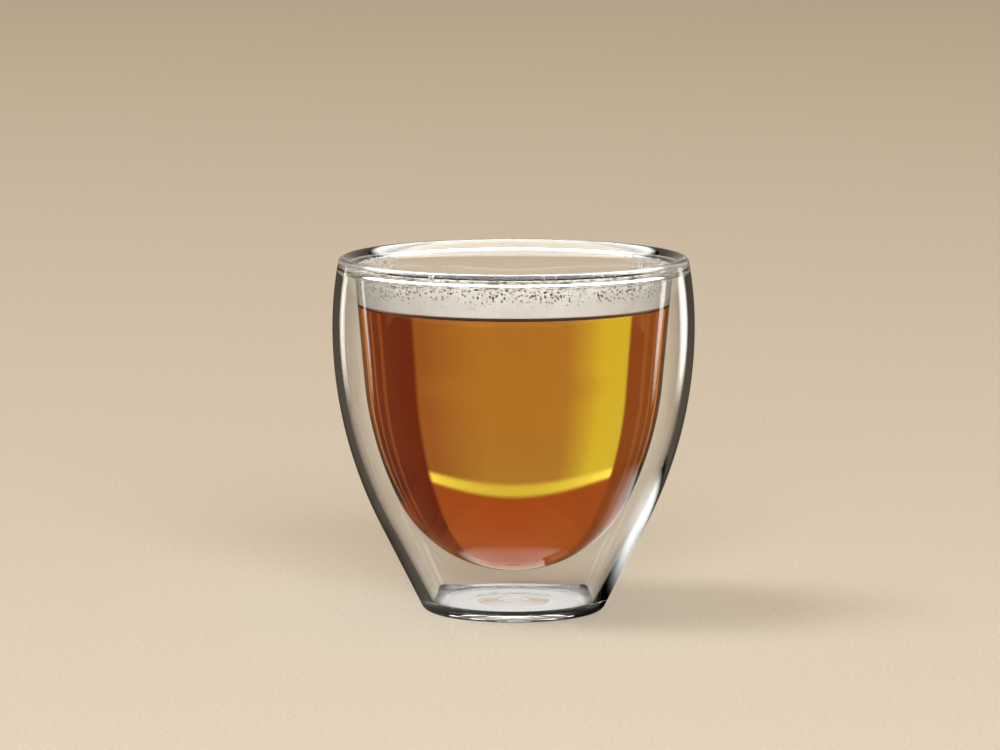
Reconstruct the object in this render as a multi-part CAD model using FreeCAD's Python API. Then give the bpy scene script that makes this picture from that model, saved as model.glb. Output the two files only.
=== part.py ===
"""Glass cup of tea: a handleless double-wall cup filled with tea.

The cup is one piece of glass. An outer shell and an inner bowl are fused at the lip, with sealed air between
them. The shell swells to a belly under the lip and tapers straight to a small flat foot, whose underside has a
shallow dimple with the nub where the glass was sealed. The bowl has a round bottom and hangs clear of the
foot. The tea fills it to a little below the lip.

Millimetres, +Z up. The origin is the centre of the foot, on the surface that the cup stands on.
"""

import FreeCAD
import Part

import math
import os

# Overall sizes
CUP_HEIGHT = 88.5
CUP_DIAMETER = 90.0  # at the belly, the widest place
FOOT_DIAMETER = 44.4  # where the straight taper would meet the table

# Outer shell
BELLY_DROP = 17.5  # from the top of the lip down to the widest place
SHOULDER_RADIUS = 90.0  # curve of the wall between the belly and the lip
TAPER_HEIGHT = 22.0  # the belly's curve runs into the straight taper here
OUTER_WALL = 1.6  # at the belly
FOOT_WALL = 3.0  # measured level beside the foot, where the glass gathers
FOOT_EDGE_RADIUS = 2.6
FLOOR = 2.4  # thickness of the foot

# Lip, where the two walls are fused
LIP_THICKNESS = 3.2
THROAT_RADIUS = 6.0  # flare of the bowl's mouth, tangent to the round of the lip
SPACE_TOP_RADIUS = 1.25  # round top of the sealed air space

# Inner bowl
AIR_GAP = 4.1  # between the two walls, beside the bowl's mouth
BOWL_WALL = 1.6
WALL_LEAN = 5.0  # degrees from upright, for the straight part of the bowl's wall under the throat
STRAIGHT_WALL = 26.0  # length of that part
BOTTOM_INSET = 7.1  # the round bottom's radius is this much less than the mouth's
SPACE_UNDER_BOWL = 7.8
SPACE_FLOOR_EDGE_RADIUS = 3.2  # round between the shell's wall and its floor, inside

# Sealing dimple under the foot
DIMPLE_DIAMETER = 22.0
DIMPLE_DEPTH = 1.1
FLOOR_RISE = 0.8  # low dome of the floor's upper side, over the dimple
NUB_DIAMETER = 6.0
NUB_HEIGHT = 0.7

# Tea
TEA_DROP = 12.2  # from the top of the lip down to the tea


def polar(centre, radius, angle):
    """The point of a circle in the (radius, height) plane at an angle in radians."""
    return (centre[0] + radius * math.cos(angle), centre[1] + radius * math.sin(angle))


def angle_to(centre, point):
    """The angle in radians from a circle's centre to a point."""
    return math.atan2(point[1] - centre[1], point[0] - centre[0])


def vector(point):
    """A (radius, height) pair as a point of the half-plane that is turned about Z."""
    return FreeCAD.Vector(point[0], 0.0, point[1])


def line(start, end):
    """A straight edge of a half-section."""
    return Part.LineSegment(vector(start), vector(end)).toShape()


def arc(centre, radius, start, end):
    """The shorter arc of a circle from one of its points to another."""
    first = angle_to(centre, start)
    turn = (angle_to(centre, end) - first + math.pi) % (2 * math.pi) - math.pi
    middle = polar(centre, radius, first + turn / 2)
    return Part.Arc(vector(start), vector(middle), vector(end)).toShape()


def turned(edges):
    """The solid made by turning a half-section, closed along the axis, about Z."""
    face = Part.Face(Part.Wire(Part.sortEdges(edges)[0]))
    solid = face.revolve(FreeCAD.Vector(0, 0, 0), FreeCAD.Vector(0, 0, 1), 360.0)
    return Part.Solid(solid) if solid.ShapeType == "Shell" else solid.Solids[0]


def taper_lean(drop, inset, join_height):
    """Lean in radians of a taper that a belly curve runs into, by halving.

    The curve starts upright and falls by drop, then the straight taper falls by join_height. Together they
    come in by inset: inset = drop * tan(lean / 2) + join_height * tan(lean).
    """
    low, high = 0.0, math.radians(89.0)
    for _ in range(60):
        lean = (low + high) / 2
        if drop * math.tan(lean / 2) + join_height * math.tan(lean) < inset:
            low = lean
        else:
            high = lean
    return lean


def shell_side(belly_radius, foot_radius):
    """Belly curve and taper of one face of the outer shell.

    Returns the curve's centre and radius, the points where it starts and where it meets the taper, and the
    taper's lean.
    """
    belly = (belly_radius, CUP_HEIGHT - BELLY_DROP)
    drop = belly[1] - TAPER_HEIGHT
    lean = taper_lean(drop, belly_radius - foot_radius, TAPER_HEIGHT)
    radius = drop / math.sin(lean)
    centre = (belly_radius - radius, belly[1])
    return centre, radius, belly, polar(centre, radius, -lean), lean


def rounded_corner(corner, lean, radius):
    """Round between a taper that rises outward from a corner and a level line that runs in to the axis.

    Returns the round's centre, its point on the taper and its point on the level line.
    """
    reach = radius * math.tan((math.pi / 2 - lean) / 2)
    level = (corner[0] - reach, corner[1])
    side = (corner[0] + reach * math.sin(lean), corner[1] + reach * math.cos(lean))
    return (level[0], corner[1] + radius), side, level


def cap(width, height, base):
    """A shallow spherical cap on the axis: its centre, radius and top, for a rim of that width at a height."""
    half = width / 2
    radius = (half * half + height * height) / (2 * height)
    top = (0.0, base + height)
    return (0.0, top[1] - radius), radius, top


class Lip:
    """The round lip and the throat under it, which tie the shell's shoulder to the bowl."""

    def __init__(self):
        radius = LIP_THICKNESS / 2
        self.radius = radius
        self.shoulder = (CUP_DIAMETER / 2 - SHOULDER_RADIUS, CUP_HEIGHT - BELLY_DROP)
        height = CUP_HEIGHT - radius
        across = math.sqrt((SHOULDER_RADIUS - radius) ** 2 - (height - self.shoulder[1]) ** 2)
        self.centre = (self.shoulder[0] + across, height)
        lean = math.radians(WALL_LEAN)
        self.mouth_radius = CUP_DIAMETER / 2 - OUTER_WALL - AIR_GAP - BOWL_WALL
        throat_r = self.mouth_radius + THROAT_RADIUS * math.cos(lean)
        fall = math.sqrt((THROAT_RADIUS - radius) ** 2 - (throat_r - self.centre[0]) ** 2)
        self.throat = (throat_r, height - fall)
        self.mouth = (self.mouth_radius, self.throat[1] + THROAT_RADIUS * math.sin(lean))
        self.outside = polar(self.shoulder, SHOULDER_RADIUS, angle_to(self.shoulder, self.centre))
        self.inside = polar(self.throat, THROAT_RADIUS, angle_to(self.throat, self.centre))
        self.top = (self.centre[0], CUP_HEIGHT)

    def space_top(self):
        """The round top of the air space: its centre, and its points on the shoulder and on the throat."""
        to_shoulder = SHOULDER_RADIUS - OUTER_WALL - SPACE_TOP_RADIUS
        to_throat = THROAT_RADIUS - BOWL_WALL - SPACE_TOP_RADIUS
        across = self.throat[0] - self.shoulder[0]
        up = self.throat[1] - self.shoulder[1]
        apart = math.hypot(across, up)
        along = (to_shoulder**2 - to_throat**2 + apart**2) / (2 * apart)
        aside = math.sqrt(to_shoulder**2 - along**2)
        centre = (
            self.shoulder[0] + (along * across - aside * up) / apart,
            self.shoulder[1] + (along * up + aside * across) / apart,
        )
        outer = polar(centre, SPACE_TOP_RADIUS, angle_to(self.shoulder, centre))
        inner = polar(centre, SPACE_TOP_RADIUS, angle_to(self.throat, centre))
        return centre, outer, inner


class Bowl:
    """The inner bowl: a round bottom, a curved side, and a straight wall up to the throat of the lip."""

    def __init__(self, lip):
        self.bottom_radius = lip.mouth_radius - BOTTOM_INSET
        self.lowest = FLOOR + SPACE_UNDER_BOWL + BOWL_WALL
        self.bottom = (0.0, self.lowest + self.bottom_radius)
        lean = math.radians(WALL_LEAN)
        self.joint = (
            lip.mouth[0] - STRAIGHT_WALL * math.sin(lean),
            lip.mouth[1] - STRAIGHT_WALL * math.cos(lean),
        )
        rise = self.joint[1] - self.bottom[1]
        reach = self.joint[0] * math.cos(lean) - rise * math.sin(lean)
        far = self.joint[0] ** 2 + rise**2 - self.bottom_radius**2
        self.side_radius = far / (2 * (reach - self.bottom_radius))
        self.side = polar(self.joint, -self.side_radius, -lean)

    def edges(self, lip, wall):
        """The bowl's face, at wall outside its inner face, from the axis up to the throat, and its last point."""
        lowest = (0.0, self.lowest - wall)
        side_radius = self.side_radius + wall
        meeting = polar(self.side, side_radius, angle_to(self.side, self.bottom))
        joint = polar(self.side, side_radius, angle_to(self.side, self.joint))
        mouth = polar(lip.throat, THROAT_RADIUS - wall, angle_to(lip.throat, lip.mouth))
        edges = [
            arc(self.bottom, self.bottom_radius + wall, lowest, meeting),
            arc(self.side, side_radius, meeting, joint),
            line(joint, mouth),
        ]
        return edges, mouth


def cup_solid(lip, bowl):
    """The cup's glass, from its outer outline less the sealed air space."""
    inside, mouth = bowl.edges(lip, 0.0)
    centre, radius, belly, meeting, lean = shell_side(CUP_DIAMETER / 2, FOOT_DIAMETER / 2)
    edge_centre, side, level = rounded_corner((FOOT_DIAMETER / 2, 0.0), lean, FOOT_EDGE_RADIUS)
    outline = inside + [
        arc(lip.throat, THROAT_RADIUS, mouth, lip.inside),
        arc(lip.centre, lip.radius, lip.inside, lip.top),
        arc(lip.centre, lip.radius, lip.top, lip.outside),
        arc(lip.shoulder, SHOULDER_RADIUS, lip.outside, belly),
        arc(centre, radius, belly, meeting),
        line(meeting, side),
        arc(edge_centre, FOOT_EDGE_RADIUS, side, level),
    ]
    outline += underside(level)
    lowest = (0.0, bowl.lowest)
    axis_foot = (0.0, DIMPLE_DEPTH - NUB_HEIGHT)
    outline.append(line(axis_foot, lowest))
    return turned(outline).cut(air_space(lip, bowl))


def underside(level):
    """The foot's flat ring and its dimple with the sealing nub, from the foot's edge in to the axis."""
    centre, radius, _ = cap(DIMPLE_DIAMETER, DIMPLE_DEPTH, 0.0)
    rim = (DIMPLE_DIAMETER / 2, 0.0)
    nub_rim_height = centre[1] + math.sqrt(radius**2 - (NUB_DIAMETER / 2) ** 2)
    nub_rim = (NUB_DIAMETER / 2, nub_rim_height)
    nub_low = (0.0, DIMPLE_DEPTH - NUB_HEIGHT)
    sag = nub_rim[1] - nub_low[1]
    nub_radius = (nub_rim[0] ** 2 + sag**2) / (2 * sag)
    return [
        line(level, rim),
        arc(centre, radius, rim, nub_rim),
        arc((0.0, nub_low[1] + nub_radius), nub_radius, nub_rim, nub_low),
    ]


def air_space(lip, bowl):
    """The sealed air between the shell and the bowl, as a solid."""
    around_bowl, mouth = bowl.edges(lip, BOWL_WALL)
    belly_radius = CUP_DIAMETER / 2 - OUTER_WALL
    centre, radius, belly, meeting, lean = shell_side(belly_radius, FOOT_DIAMETER / 2 - FOOT_WALL)
    corner = (FOOT_DIAMETER / 2 - FOOT_WALL + FLOOR * math.tan(lean), FLOOR)
    edge_centre, side, level = rounded_corner(corner, lean, SPACE_FLOOR_EDGE_RADIUS)
    top_centre, top_outer, top_inner = lip.space_top()
    dome_centre, dome_radius, dome_top = cap(DIMPLE_DIAMETER, FLOOR_RISE, FLOOR)
    dome_rim = (DIMPLE_DIAMETER / 2, FLOOR)
    top = (top_centre[0], top_centre[1] + SPACE_TOP_RADIUS)
    outline = around_bowl + [
        arc(lip.throat, THROAT_RADIUS - BOWL_WALL, mouth, top_inner),
        arc(top_centre, SPACE_TOP_RADIUS, top_inner, top),
        arc(top_centre, SPACE_TOP_RADIUS, top, top_outer),
        arc(lip.shoulder, SHOULDER_RADIUS - OUTER_WALL, top_outer, belly),
        arc(centre, radius, belly, meeting),
        line(meeting, side),
        arc(edge_centre, SPACE_FLOOR_EDGE_RADIUS, side, level),
        line(level, dome_rim),
        arc(dome_centre, dome_radius, dome_rim, dome_top),
        line(dome_top, (0.0, bowl.lowest - BOWL_WALL)),
    ]
    return turned(outline)


def tea_solid(lip, bowl):
    """The tea: the room inside the bowl, up to the tea's level."""
    inside, mouth = bowl.edges(lip, 0.0)
    room = inside + [
        arc(lip.throat, THROAT_RADIUS, mouth, lip.inside),
        line(lip.inside, (0.0, lip.inside[1])),
        line((0.0, lip.inside[1]), (0.0, bowl.lowest)),
    ]
    below_level = Part.makeCylinder(CUP_DIAMETER / 2, CUP_HEIGHT - TEA_DROP)
    return turned(room).common(below_level)


def save(shape, node):
    """Writes one piece as a STEP file named after its node."""
    if not shape.isValid() or len(shape.Solids) != 1:
        raise ValueError(node + " is not one valid solid")
    solid = shape.Solids[0]
    solid.exportStep(os.path.join("parts", node + ".step"))
    box = solid.BoundBox
    print(f"{node}: {solid.Volume:.0f} mm3, {box.XLength:.1f} x {box.YLength:.1f} x {box.ZLength:.1f} mm")


def main():
    """Builds every piece."""
    os.makedirs("parts", exist_ok=True)
    lip = Lip()
    bowl = Bowl(lip)
    save(cup_solid(lip, bowl), "glass_cup")
    save(tea_solid(lip, bowl), "tea")


main()
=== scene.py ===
"""Glass cup of tea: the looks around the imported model.

A double-wall glass cup stands on a pale studio floor, filled with clear amber tea. Fog and beads of water
sit on the inside of the bowl, between the tea and the lip. All pieces are surfaces worked out with numpy, in
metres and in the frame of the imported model, with +Z up and the origin under the middle of the foot.
"""

import logging
import math
from dataclasses import dataclass, field
from enum import Enum

import bpy
import numpy as np
from mathutils import Matrix, Vector

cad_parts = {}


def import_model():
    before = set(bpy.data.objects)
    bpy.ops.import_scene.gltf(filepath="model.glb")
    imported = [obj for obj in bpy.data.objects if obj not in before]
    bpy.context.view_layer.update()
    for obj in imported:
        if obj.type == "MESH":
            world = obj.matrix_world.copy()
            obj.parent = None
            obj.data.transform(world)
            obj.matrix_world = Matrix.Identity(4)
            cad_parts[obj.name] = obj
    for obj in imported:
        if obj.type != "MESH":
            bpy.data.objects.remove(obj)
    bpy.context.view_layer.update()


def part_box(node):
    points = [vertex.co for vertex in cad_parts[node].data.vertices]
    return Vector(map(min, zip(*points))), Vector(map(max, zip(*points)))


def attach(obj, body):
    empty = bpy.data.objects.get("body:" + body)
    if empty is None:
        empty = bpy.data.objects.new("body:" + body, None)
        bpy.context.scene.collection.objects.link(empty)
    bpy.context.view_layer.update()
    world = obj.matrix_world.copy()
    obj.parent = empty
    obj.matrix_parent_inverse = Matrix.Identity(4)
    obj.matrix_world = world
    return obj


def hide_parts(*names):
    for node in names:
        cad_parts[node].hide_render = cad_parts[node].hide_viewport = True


LOG = logging.getLogger("cup_of_tea")
MM = 0.001
EMPTY_GLASS_FACES = 4.0  # how many faces of glass a straight path crosses where there is no tea
TEA_FACES = 5.5  # a path that has crossed more faces than this has been through the tea
Colour = tuple[float, float, float]
Point = tuple[float, float, float]
Pair = tuple[float, float]
NO_TRIANGLES = np.zeros((0, 3), dtype=int)


class Facing(Enum):
    """Which way the faces of a turned surface point, for a profile that runs up the outside of a solid."""

    OUTWARD = 1
    INWARD = -1


class Sight(Enum):
    """Which paths of light pick up a glowing card. The others go straight through it."""

    MIRRORED = "mirrored at least once, outside the tea"
    THROUGH_GLASS = "through both walls of the glass, and no tea"
    THROUGH_TEA = "through the glass and the tea"


@dataclass(frozen=True)
class Surface:
    """Points, four-sided faces and three-sided faces of one mesh, as arrays."""

    points: np.ndarray
    quads: np.ndarray
    triangles: np.ndarray

    @staticmethod
    def joined(parts: list["Surface"]) -> "Surface":
        """Several surfaces as one, with each part's face indices moved up past the points before it.

        Args:
            parts: the surfaces to join.

        Returns:
            The joined surface.
        """
        starts = np.cumsum([0] + [len(part.points) for part in parts[:-1]])
        return Surface(
            np.concatenate([part.points for part in parts]),
            np.concatenate([part.quads + start for part, start in zip(parts, starts)]),
            np.concatenate([part.triangles + start for part, start in zip(parts, starts)]),
        )

    def piece(self, name: str) -> bpy.types.Object:
        """Puts the surface into a smooth-shaded mesh object at the origin.

        Args:
            name: the piece's name.

        Returns:
            The new object.
        """
        mesh = bpy.data.meshes.new(name)
        corners = np.concatenate([self.quads.ravel(), self.triangles.ravel()]).astype(np.int32)
        sizes = np.concatenate([np.full(len(self.quads), 4), np.full(len(self.triangles), 3)])
        starts = np.concatenate([[0], np.cumsum(sizes)[:-1]]).astype(np.int32)
        mesh.vertices.add(len(self.points))
        mesh.vertices.foreach_set("co", self.points.astype(np.float32).ravel())
        mesh.loops.add(len(corners))
        mesh.loops.foreach_set("vertex_index", corners)
        mesh.polygons.add(len(sizes))
        mesh.polygons.foreach_set("loop_start", starts)
        mesh.polygons.foreach_set("use_smooth", np.ones(len(sizes), dtype=bool))
        mesh.update(calc_edges=True)
        mesh.validate()
        thing = bpy.data.objects.new(name, mesh)
        bpy.context.scene.collection.objects.link(thing)
        return thing


def polar(centre: Pair, radius: float, angle: float) -> Pair:
    """The point of a circle in the (radius, height) plane at an angle in radians."""
    return (centre[0] + radius * math.cos(angle), centre[1] + radius * math.sin(angle))


def angle_to(centre: Pair, point: Pair) -> float:
    """The angle in radians from a circle's centre to a point."""
    return math.atan2(point[1] - centre[1], point[0] - centre[0])


def arc(centre: Pair, radius: float, start: Pair, end: Pair, step: float) -> np.ndarray:
    """Points along the shorter arc of a circle: centre + radius * (cos t, sin t), with t in even steps.

    Args:
        centre: the circle's centre.
        radius: its radius.
        start: the arc's first point.
        end: its last point.
        step: the longest distance between two points. No step turns by more than 5 degrees.

    Returns:
        An array of (radius, height) rows.
    """
    first = angle_to(centre, start)
    turn = (angle_to(centre, end) - first + math.pi) % (2 * math.pi) - math.pi
    count = max(2, math.ceil(abs(turn) * radius / step), math.ceil(abs(turn) / math.radians(5)))
    angles = first + turn * np.linspace(0.0, 1.0, count + 1)
    return np.stack([centre[0] + radius * np.cos(angles), centre[1] + radius * np.sin(angles)], axis=1)


def straight(start: Pair, end: Pair, step: float) -> np.ndarray:
    """Evenly spaced points from start to end, no more than step apart."""
    count = max(1, math.ceil(math.dist(start, end) / step))
    share = np.linspace(0.0, 1.0, count + 1)[:, None]
    return np.asarray(start) * (1 - share) + np.asarray(end) * share


def chained(runs: list[np.ndarray]) -> np.ndarray:
    """Runs of points end to end as one profile, with each shared end kept once."""
    return np.concatenate([runs[0]] + [run[1:] for run in runs[1:]])


def grid_faces(rows: int, columns: int, closed: bool) -> np.ndarray:
    """Four-sided faces between the points of a grid that are numbered row by row.

    Args:
        rows: how many rows of points there are.
        columns: how many points a row has.
        closed: whether each row's last point joins its first.

    Returns:
        Rows of four point numbers.
    """
    row = np.arange(rows - 1)[:, None] * columns
    here = np.arange(columns if closed else columns - 1)[None]
    there = (here + 1) % columns
    faces = np.stack([row + here, row + there, row + columns + there, row + columns + here], axis=2)
    return faces.reshape(-1, 4)


def turned(profile: np.ndarray, segments: int, facing: Facing) -> Surface:
    """The surface made by turning a profile about Z.

    The point at profile row i and turn j is (r_i * cos a_j, r_i * sin a_j, z_i), with the angle
    a_j = 2 * pi * j / segments. The profile starts and ends on the axis, where each pole is one point with a
    fan of triangles.

    Args:
        profile: (radius, height) rows, the first and last on the axis.
        segments: how many steps go round.
        facing: which way the faces point.

    Returns:
        The closed surface.
    """
    angles = np.arange(segments) * (2 * math.pi / segments)
    around = np.stack([np.cos(angles), np.sin(angles)], axis=1)
    rings = profile[1:-1]
    flat = rings[:, None, 0:1] * around[None]
    height = np.broadcast_to(rings[:, None, 1:2], flat.shape[:2] + (1,))
    points = np.concatenate([flat, height], axis=2).reshape(-1, 3)
    poles = np.array([[0.0, 0.0, profile[0, 1]], [0.0, 0.0, profile[-1, 1]]])
    quads = grid_faces(len(rings), segments, closed=True)
    here = np.arange(segments)
    there = (here + 1) % segments
    last = (len(rings) - 1) * segments
    low, high = len(points), len(points) + 1
    fans = [
        np.stack([np.full(segments, low), there, here], axis=1),
        np.stack([np.full(segments, high), last + here, last + there], axis=1),
    ]
    triangles = np.concatenate(fans)
    if facing is Facing.INWARD:
        quads, triangles = quads[:, ::-1], triangles[:, ::-1]
    return Surface(np.concatenate([points, poles]), quads, triangles)


@dataclass(frozen=True)
class CupSizes:
    """The cup's sizes in metres. Height and belly come from the frame; the rest are the cup's own."""

    height: float
    belly_radius: float
    foot_radius: float = 22.2 * MM
    belly_drop: float = 17.5 * MM
    shoulder_radius: float = 90.0 * MM
    taper_height: float = 22.0 * MM
    outer_wall: float = 1.6 * MM
    foot_wall: float = 3.0 * MM
    foot_edge_radius: float = 2.6 * MM
    floor: float = 2.4 * MM
    lip_radius: float = 1.6 * MM
    throat_radius: float = 6.0 * MM
    space_top_radius: float = 1.25 * MM
    air_gap: float = 4.1 * MM
    bowl_wall: float = 1.6 * MM
    wall_lean: float = math.radians(5.0)
    straight_wall: float = 26.0 * MM
    bottom_inset: float = 7.1 * MM
    space_floor_edge_radius: float = 3.2 * MM
    dimple_radius: float = 11.0 * MM
    dimple_depth: float = 1.1 * MM
    floor_rise: float = 0.8 * MM
    nub_radius: float = 3.0 * MM
    nub_height: float = 0.7 * MM
    bowl_lowest: float = 11.8 * MM


class CupShape:
    """The cup's section: tangent arcs and lines in the (radius, height) plane, worked out from its sizes."""

    def __init__(self, sizes: CupSizes, step: float) -> None:
        """Places the circles of the lip, the throat and the bowl.

        Args:
            sizes: the cup's sizes.
            step: the longest distance between two points of a profile.
        """
        self.sizes = sizes
        self.step = step
        lean = sizes.wall_lean
        self.shoulder = (sizes.belly_radius - sizes.shoulder_radius, sizes.height - sizes.belly_drop)
        lip_height = sizes.height - sizes.lip_radius
        reach = sizes.shoulder_radius - sizes.lip_radius
        self.lip = (self.shoulder[0] + math.sqrt(reach**2 - (lip_height - self.shoulder[1]) ** 2), lip_height)
        self.mouth_radius = sizes.belly_radius - sizes.outer_wall - sizes.air_gap - sizes.bowl_wall
        throat = self.mouth_radius + sizes.throat_radius * math.cos(lean)
        fall = math.sqrt((sizes.throat_radius - sizes.lip_radius) ** 2 - (throat - self.lip[0]) ** 2)
        self.throat = (throat, lip_height - fall)
        self.mouth = (self.mouth_radius, self.throat[1] + sizes.throat_radius * math.sin(lean))
        self.joint = (
            self.mouth[0] - sizes.straight_wall * math.sin(lean),
            self.mouth[1] - sizes.straight_wall * math.cos(lean),
        )
        self.bottom_radius = self.mouth_radius - sizes.bottom_inset
        self.bottom = (0.0, sizes.bowl_lowest + self.bottom_radius)
        rise = self.joint[1] - self.bottom[1]
        reach = self.joint[0] * math.cos(lean) - rise * math.sin(lean)
        far = self.joint[0] ** 2 + rise**2 - self.bottom_radius**2
        self.side_radius = far / (2 * (reach - self.bottom_radius))
        self.side = polar(self.joint, -self.side_radius, -lean)

    def bowl(self, wall: float) -> np.ndarray:
        """The bowl's face from the axis up to the lip or the air space, at wall outside its inner face."""
        sizes = self.sizes
        lowest = (0.0, sizes.bowl_lowest - wall)
        side_radius = self.side_radius + wall
        meeting = polar(self.side, side_radius, angle_to(self.side, self.bottom))
        joint = polar(self.side, side_radius, angle_to(self.side, self.joint))
        throat_radius = sizes.throat_radius - wall
        mouth = polar(self.throat, throat_radius, angle_to(self.throat, self.mouth))
        end = self.space_top()[2] if wall > 0 else self.lip_inside()
        return chained(
            [
                arc(self.bottom, self.bottom_radius + wall, lowest, meeting, self.step),
                arc(self.side, side_radius, meeting, joint, self.step),
                straight(joint, mouth, self.step),
                arc(self.throat, throat_radius, mouth, end, self.step),
            ]
        )

    def lip_inside(self) -> Pair:
        """Where the throat's curve runs into the round of the lip."""
        return polar(self.throat, self.sizes.throat_radius, angle_to(self.throat, self.lip))

    def space_top(self) -> tuple[Pair, Pair, Pair]:
        """The round top of the air space: its centre, and its points on the shoulder and on the throat."""
        sizes = self.sizes
        to_shoulder = sizes.shoulder_radius - sizes.outer_wall - sizes.space_top_radius
        to_throat = sizes.throat_radius - sizes.bowl_wall - sizes.space_top_radius
        across, up = self.throat[0] - self.shoulder[0], self.throat[1] - self.shoulder[1]
        apart = math.hypot(across, up)
        along = (to_shoulder**2 - to_throat**2 + apart**2) / (2 * apart)
        aside = math.sqrt(to_shoulder**2 - along**2)
        centre = (
            self.shoulder[0] + (along * across - aside * up) / apart,
            self.shoulder[1] + (along * up + aside * across) / apart,
        )
        outer = polar(centre, sizes.space_top_radius, angle_to(self.shoulder, centre))
        inner = polar(centre, sizes.space_top_radius, angle_to(self.throat, centre))
        return centre, outer, inner

    def shell_side(self, belly_radius: float, foot_radius: float) -> tuple[list[np.ndarray], Pair, float]:
        """One face of the outer shell from the belly down: a curve that starts upright, then a taper.

        Args:
            belly_radius: the face's radius at the belly.
            foot_radius: where the taper would reach height nought.

        Returns:
            The curve as a list of one run, its last point, and the taper's lean in radians, found by halving.
        """
        belly = (belly_radius, self.sizes.height - self.sizes.belly_drop)
        drop = belly[1] - self.sizes.taper_height
        low, high = 0.0, math.radians(89.0)
        for _ in range(60):
            lean = (low + high) / 2
            inset = drop * math.tan(lean / 2) + self.sizes.taper_height * math.tan(lean)
            low, high = (lean, high) if inset < belly_radius - foot_radius else (low, lean)
        radius = drop / math.sin(lean)
        centre = (belly_radius - radius, belly[1])
        end = polar(centre, radius, -lean)
        return [arc(centre, radius, belly, end, self.step)], end, lean

    def outline(self) -> np.ndarray:
        """The glass's outside: up the inside of the bowl, over the lip, down the shell and under the foot."""
        sizes = self.sizes
        outside = polar(self.shoulder, sizes.shoulder_radius, angle_to(self.shoulder, self.lip))
        top = (self.lip[0], sizes.height)
        belly = (sizes.belly_radius, sizes.height - sizes.belly_drop)
        curve, taper_top, lean = self.shell_side(sizes.belly_radius, sizes.foot_radius)
        centre, side, level = rounded_corner((sizes.foot_radius, 0.0), lean, sizes.foot_edge_radius)
        dimple_centre, dimple_radius, _ = cap(sizes.dimple_radius, sizes.dimple_depth, 0.0)
        rim = (sizes.dimple_radius, 0.0)
        nub_low = (0.0, sizes.dimple_depth - sizes.nub_height)
        nub_rim_height = dimple_centre[1] + math.sqrt(dimple_radius**2 - sizes.nub_radius**2)
        nub_rim = (sizes.nub_radius, nub_rim_height)
        sag = nub_rim[1] - nub_low[1]
        nub_curve = (sizes.nub_radius**2 + sag**2) / (2 * sag)
        return chained(
            [self.bowl(0.0)]
            + [
                arc(self.lip, sizes.lip_radius, self.lip_inside(), top, self.step),
                arc(self.lip, sizes.lip_radius, top, outside, self.step),
                arc(self.shoulder, sizes.shoulder_radius, outside, belly, self.step),
            ]
            + curve
            + [
                straight(taper_top, side, self.step),
                arc(centre, sizes.foot_edge_radius, side, level, self.step),
                straight(level, rim, self.step),
                arc(dimple_centre, dimple_radius, rim, nub_rim, self.step),
                arc((0.0, nub_low[1] + nub_curve), nub_curve, nub_rim, nub_low, self.step),
            ]
        )

    def air_space(self) -> np.ndarray:
        """The sealed air space's face, from the bowl's underside up round its top and down to the floor."""
        sizes = self.sizes
        top_centre, top_outer, top_inner = self.space_top()
        belly_radius = sizes.belly_radius - sizes.outer_wall
        belly = (belly_radius, sizes.height - sizes.belly_drop)
        foot_radius = sizes.foot_radius - sizes.foot_wall
        curve, taper_top, lean = self.shell_side(belly_radius, foot_radius)
        corner = (foot_radius + sizes.floor * math.tan(lean), sizes.floor)
        centre, side, level = rounded_corner(corner, lean, sizes.space_floor_edge_radius)
        dome_centre, dome_radius, dome_top = cap(sizes.dimple_radius, sizes.floor_rise, sizes.floor)
        top = (top_centre[0], top_centre[1] + sizes.space_top_radius)
        rim = (sizes.dimple_radius, sizes.floor)
        shoulder_radius = sizes.shoulder_radius - sizes.outer_wall
        return chained(
            [
                self.bowl(sizes.bowl_wall),
                arc(top_centre, sizes.space_top_radius, top_inner, top, self.step),
                arc(top_centre, sizes.space_top_radius, top, top_outer, self.step),
                arc(self.shoulder, shoulder_radius, top_outer, belly, self.step),
            ]
            + curve
            + [
                straight(taper_top, side, self.step),
                arc(centre, sizes.space_floor_edge_radius, side, level, self.step),
                straight(level, rim, self.step),
                arc(dome_centre, dome_radius, rim, dome_top, self.step),
            ]
        )


def rounded_corner(corner: Pair, lean: float, radius: float) -> tuple[Pair, Pair, Pair]:
    """Round between a taper that rises outward from a corner and a level line that runs in to the axis.

    Args:
        corner: where the two lines would meet.
        lean: the taper's lean from upright, in radians.
        radius: the round's radius.

    Returns:
        The round's centre, its point on the taper and its point on the level line.
    """
    reach = radius * math.tan((math.pi / 2 - lean) / 2)
    level = (corner[0] - reach, corner[1])
    side = (corner[0] + reach * math.sin(lean), corner[1] + reach * math.cos(lean))
    return (level[0], corner[1] + radius), side, level


def cap(half: float, height: float, base: float) -> tuple[Pair, float, Pair]:
    """A shallow spherical cap on the axis.

    Args:
        half: the half-width of its rim.
        height: how far its top is above the rim.
        base: the rim's height.

    Returns:
        Its centre, its radius and its top.
    """
    radius = (half * half + height * height) / (2 * height)
    return (0.0, base + height - radius), radius, (0.0, base + height)


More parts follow.
